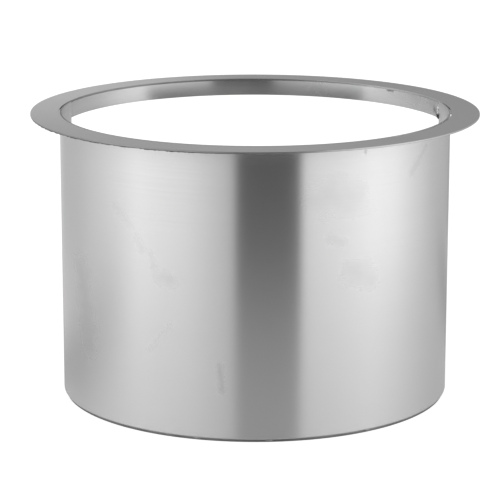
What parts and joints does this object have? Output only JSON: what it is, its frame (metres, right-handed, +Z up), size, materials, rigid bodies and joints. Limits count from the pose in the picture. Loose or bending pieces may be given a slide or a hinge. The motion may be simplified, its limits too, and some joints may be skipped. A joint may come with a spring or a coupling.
{
  "type": "soup kettle housing",
  "caption": "Open-backed round stainless steel housing for a soup kettle, with a flat top flange that carries the rim of a drop-in soup pot.",
  "frame": {"origin": "on the surface that the housing stands on, under the middle of the well", "axes": "+Z up along the well's axis, the closed front faces -Y, the open back faces +Y, +X is to the right seen from the front"},
  "size_m": [0.3048, 0.3048, 0.1945],
  "materials": {
    "flange_steel": "flat matt brushed stainless steel",
    "shell_steel": "stainless steel brushed round the cylinder, satin",
    "band_steel": "stainless steel strip brushed along its length",
    "base_steel": "dull unpolished stainless steel with sheared edges",
    "weld_steel": "weld metal, ground and lightly stained"
  },
  "bodies": {
    "root": {"top_flange": "flange_steel", "front_shell": "shell_steel", "rear_band": "band_steel", "base_ring": "base_steel", "rim_weld_front": "weld_steel", "rim_tack_left": "weld_steel", "rim_tack_right": "weld_steel", "end_weld_left": "weld_steel", "end_weld_right": "weld_steel", "band_weld_1": "weld_steel", "band_weld_2": "weld_steel", "band_weld_3": "weld_steel", "band_weld_4": "weld_steel", "base_tack_1": "weld_steel", "base_tack_2": "weld_steel", "base_tack_3": "weld_steel", "base_tack_4": "weld_steel", "base_tack_5": "weld_steel"}
  },
  "joints": []
}
